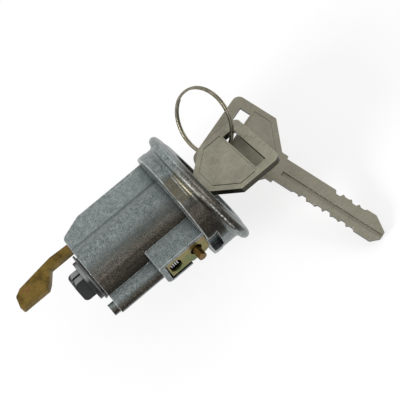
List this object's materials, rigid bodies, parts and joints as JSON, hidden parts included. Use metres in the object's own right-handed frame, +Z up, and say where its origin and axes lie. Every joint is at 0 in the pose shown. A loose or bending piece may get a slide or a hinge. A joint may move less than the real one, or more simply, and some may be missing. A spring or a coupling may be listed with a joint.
{
  "type": "ignition lock cylinder",
  "caption": "Ignition lock cylinder with slanted bezel, side lever and retaining pin, its key turned in the keyway and a second key hanging on the split ring.",
  "frame": {"origin": "on the lock axis, in the plane of the collar's rear face", "axes": "+Y along the lock axis away from the key, +X towards the lever's slab, -X towards the latch box and its pin, +Z up"},
  "size_m": [0.0752, 0.1083, 0.0517],
  "materials": {
    "casting": "zinc casting, matt, lightly mottled",
    "steel": "plain steel, satin",
    "spring_steel": "drawn wire, bright",
    "plated_steel": "yellow chromate plating, iridescent",
    "gold_plated_steel": "yellow chromate plating, olive gold",
    "rotor_metal": "dark die-cast metal, satin",
    "cap_steel": "pressed steel, satin",
    "wafer_brass": "stamped brass",
    "key_metal": "nickel plating on brass, satin",
    "pin_brass": "dull brown brass",
    "ring_steel": "bright flat wire"
  },
  "bodies": {
    "casting": {"housing": "casting", "lever_cover": "casting", "lever_pin": "steel", "lever_plunger": "steel", "lever_spring": "spring_steel", "latch_plate": "plated_steel", "latch_spring": "spring_steel", "thrust_washer": "steel"},
    "rotor": {"rotor": "rotor_metal", "rotor_cap": "cap_steel", "keyway_shutter": "steel", "shutter_pin": "steel", "shutter_spring": "spring_steel", "wafer_1": "wafer_brass", "wafer_2": "wafer_brass", "wafer_3": "wafer_brass", "wafer_4": "wafer_brass", "wafer_5": "wafer_brass", "wafer_6": "wafer_brass", "wafer_7": "wafer_brass", "wafer_8": "wafer_brass", "wafer_springs": "spring_steel", "retaining_clip": "steel", "ignition_key": "key_metal"},
    "lever": {"lever": "gold_plated_steel"},
    "retaining_pin": {"retaining_pin": "pin_brass"},
    "ring": {"split_ring": "ring_steel"},
    "spare_key": {"spare_key": "key_metal"}
  },
  "joints": [
    {"name": "rotor_turn", "type": "hinge", "parent": "casting", "child": "rotor", "pos_m": [0, 0, 0], "axis": [0, 1, 0], "range_deg": [-50, 65]},
    {"name": "lever_swing", "type": "hinge", "parent": "casting", "child": "lever", "pos_m": [0.013, 0.017, 0], "axis": [0, 0, 1], "range_deg": [0, 3], "stiffness_Nm_per_rad": 0.2, "deforming": ["lever_spring"]},
    {"name": "retaining_pin_press", "type": "slide", "parent": "casting", "child": "retaining_pin", "axis": [1, 0, 0], "range_m": [0, 0.0034], "stiffness_N_per_m": 800, "deforming": ["latch_spring"]},
    {"name": "ring_turn", "type": "hinge", "parent": "rotor", "child": "ring", "pos_m": [0.02008, -0.02614, -0.00245], "axis": [-0.2, 0.7919, 0.5769], "continuous": true},
    {"name": "spare_key_swing", "type": "hinge", "parent": "rotor", "child": "spare_key", "pos_m": [0.02008, -0.02614, -0.00245], "axis": [-0.2, 0.7919, 0.5769], "range_deg": [-18, 20]}
  ]
}
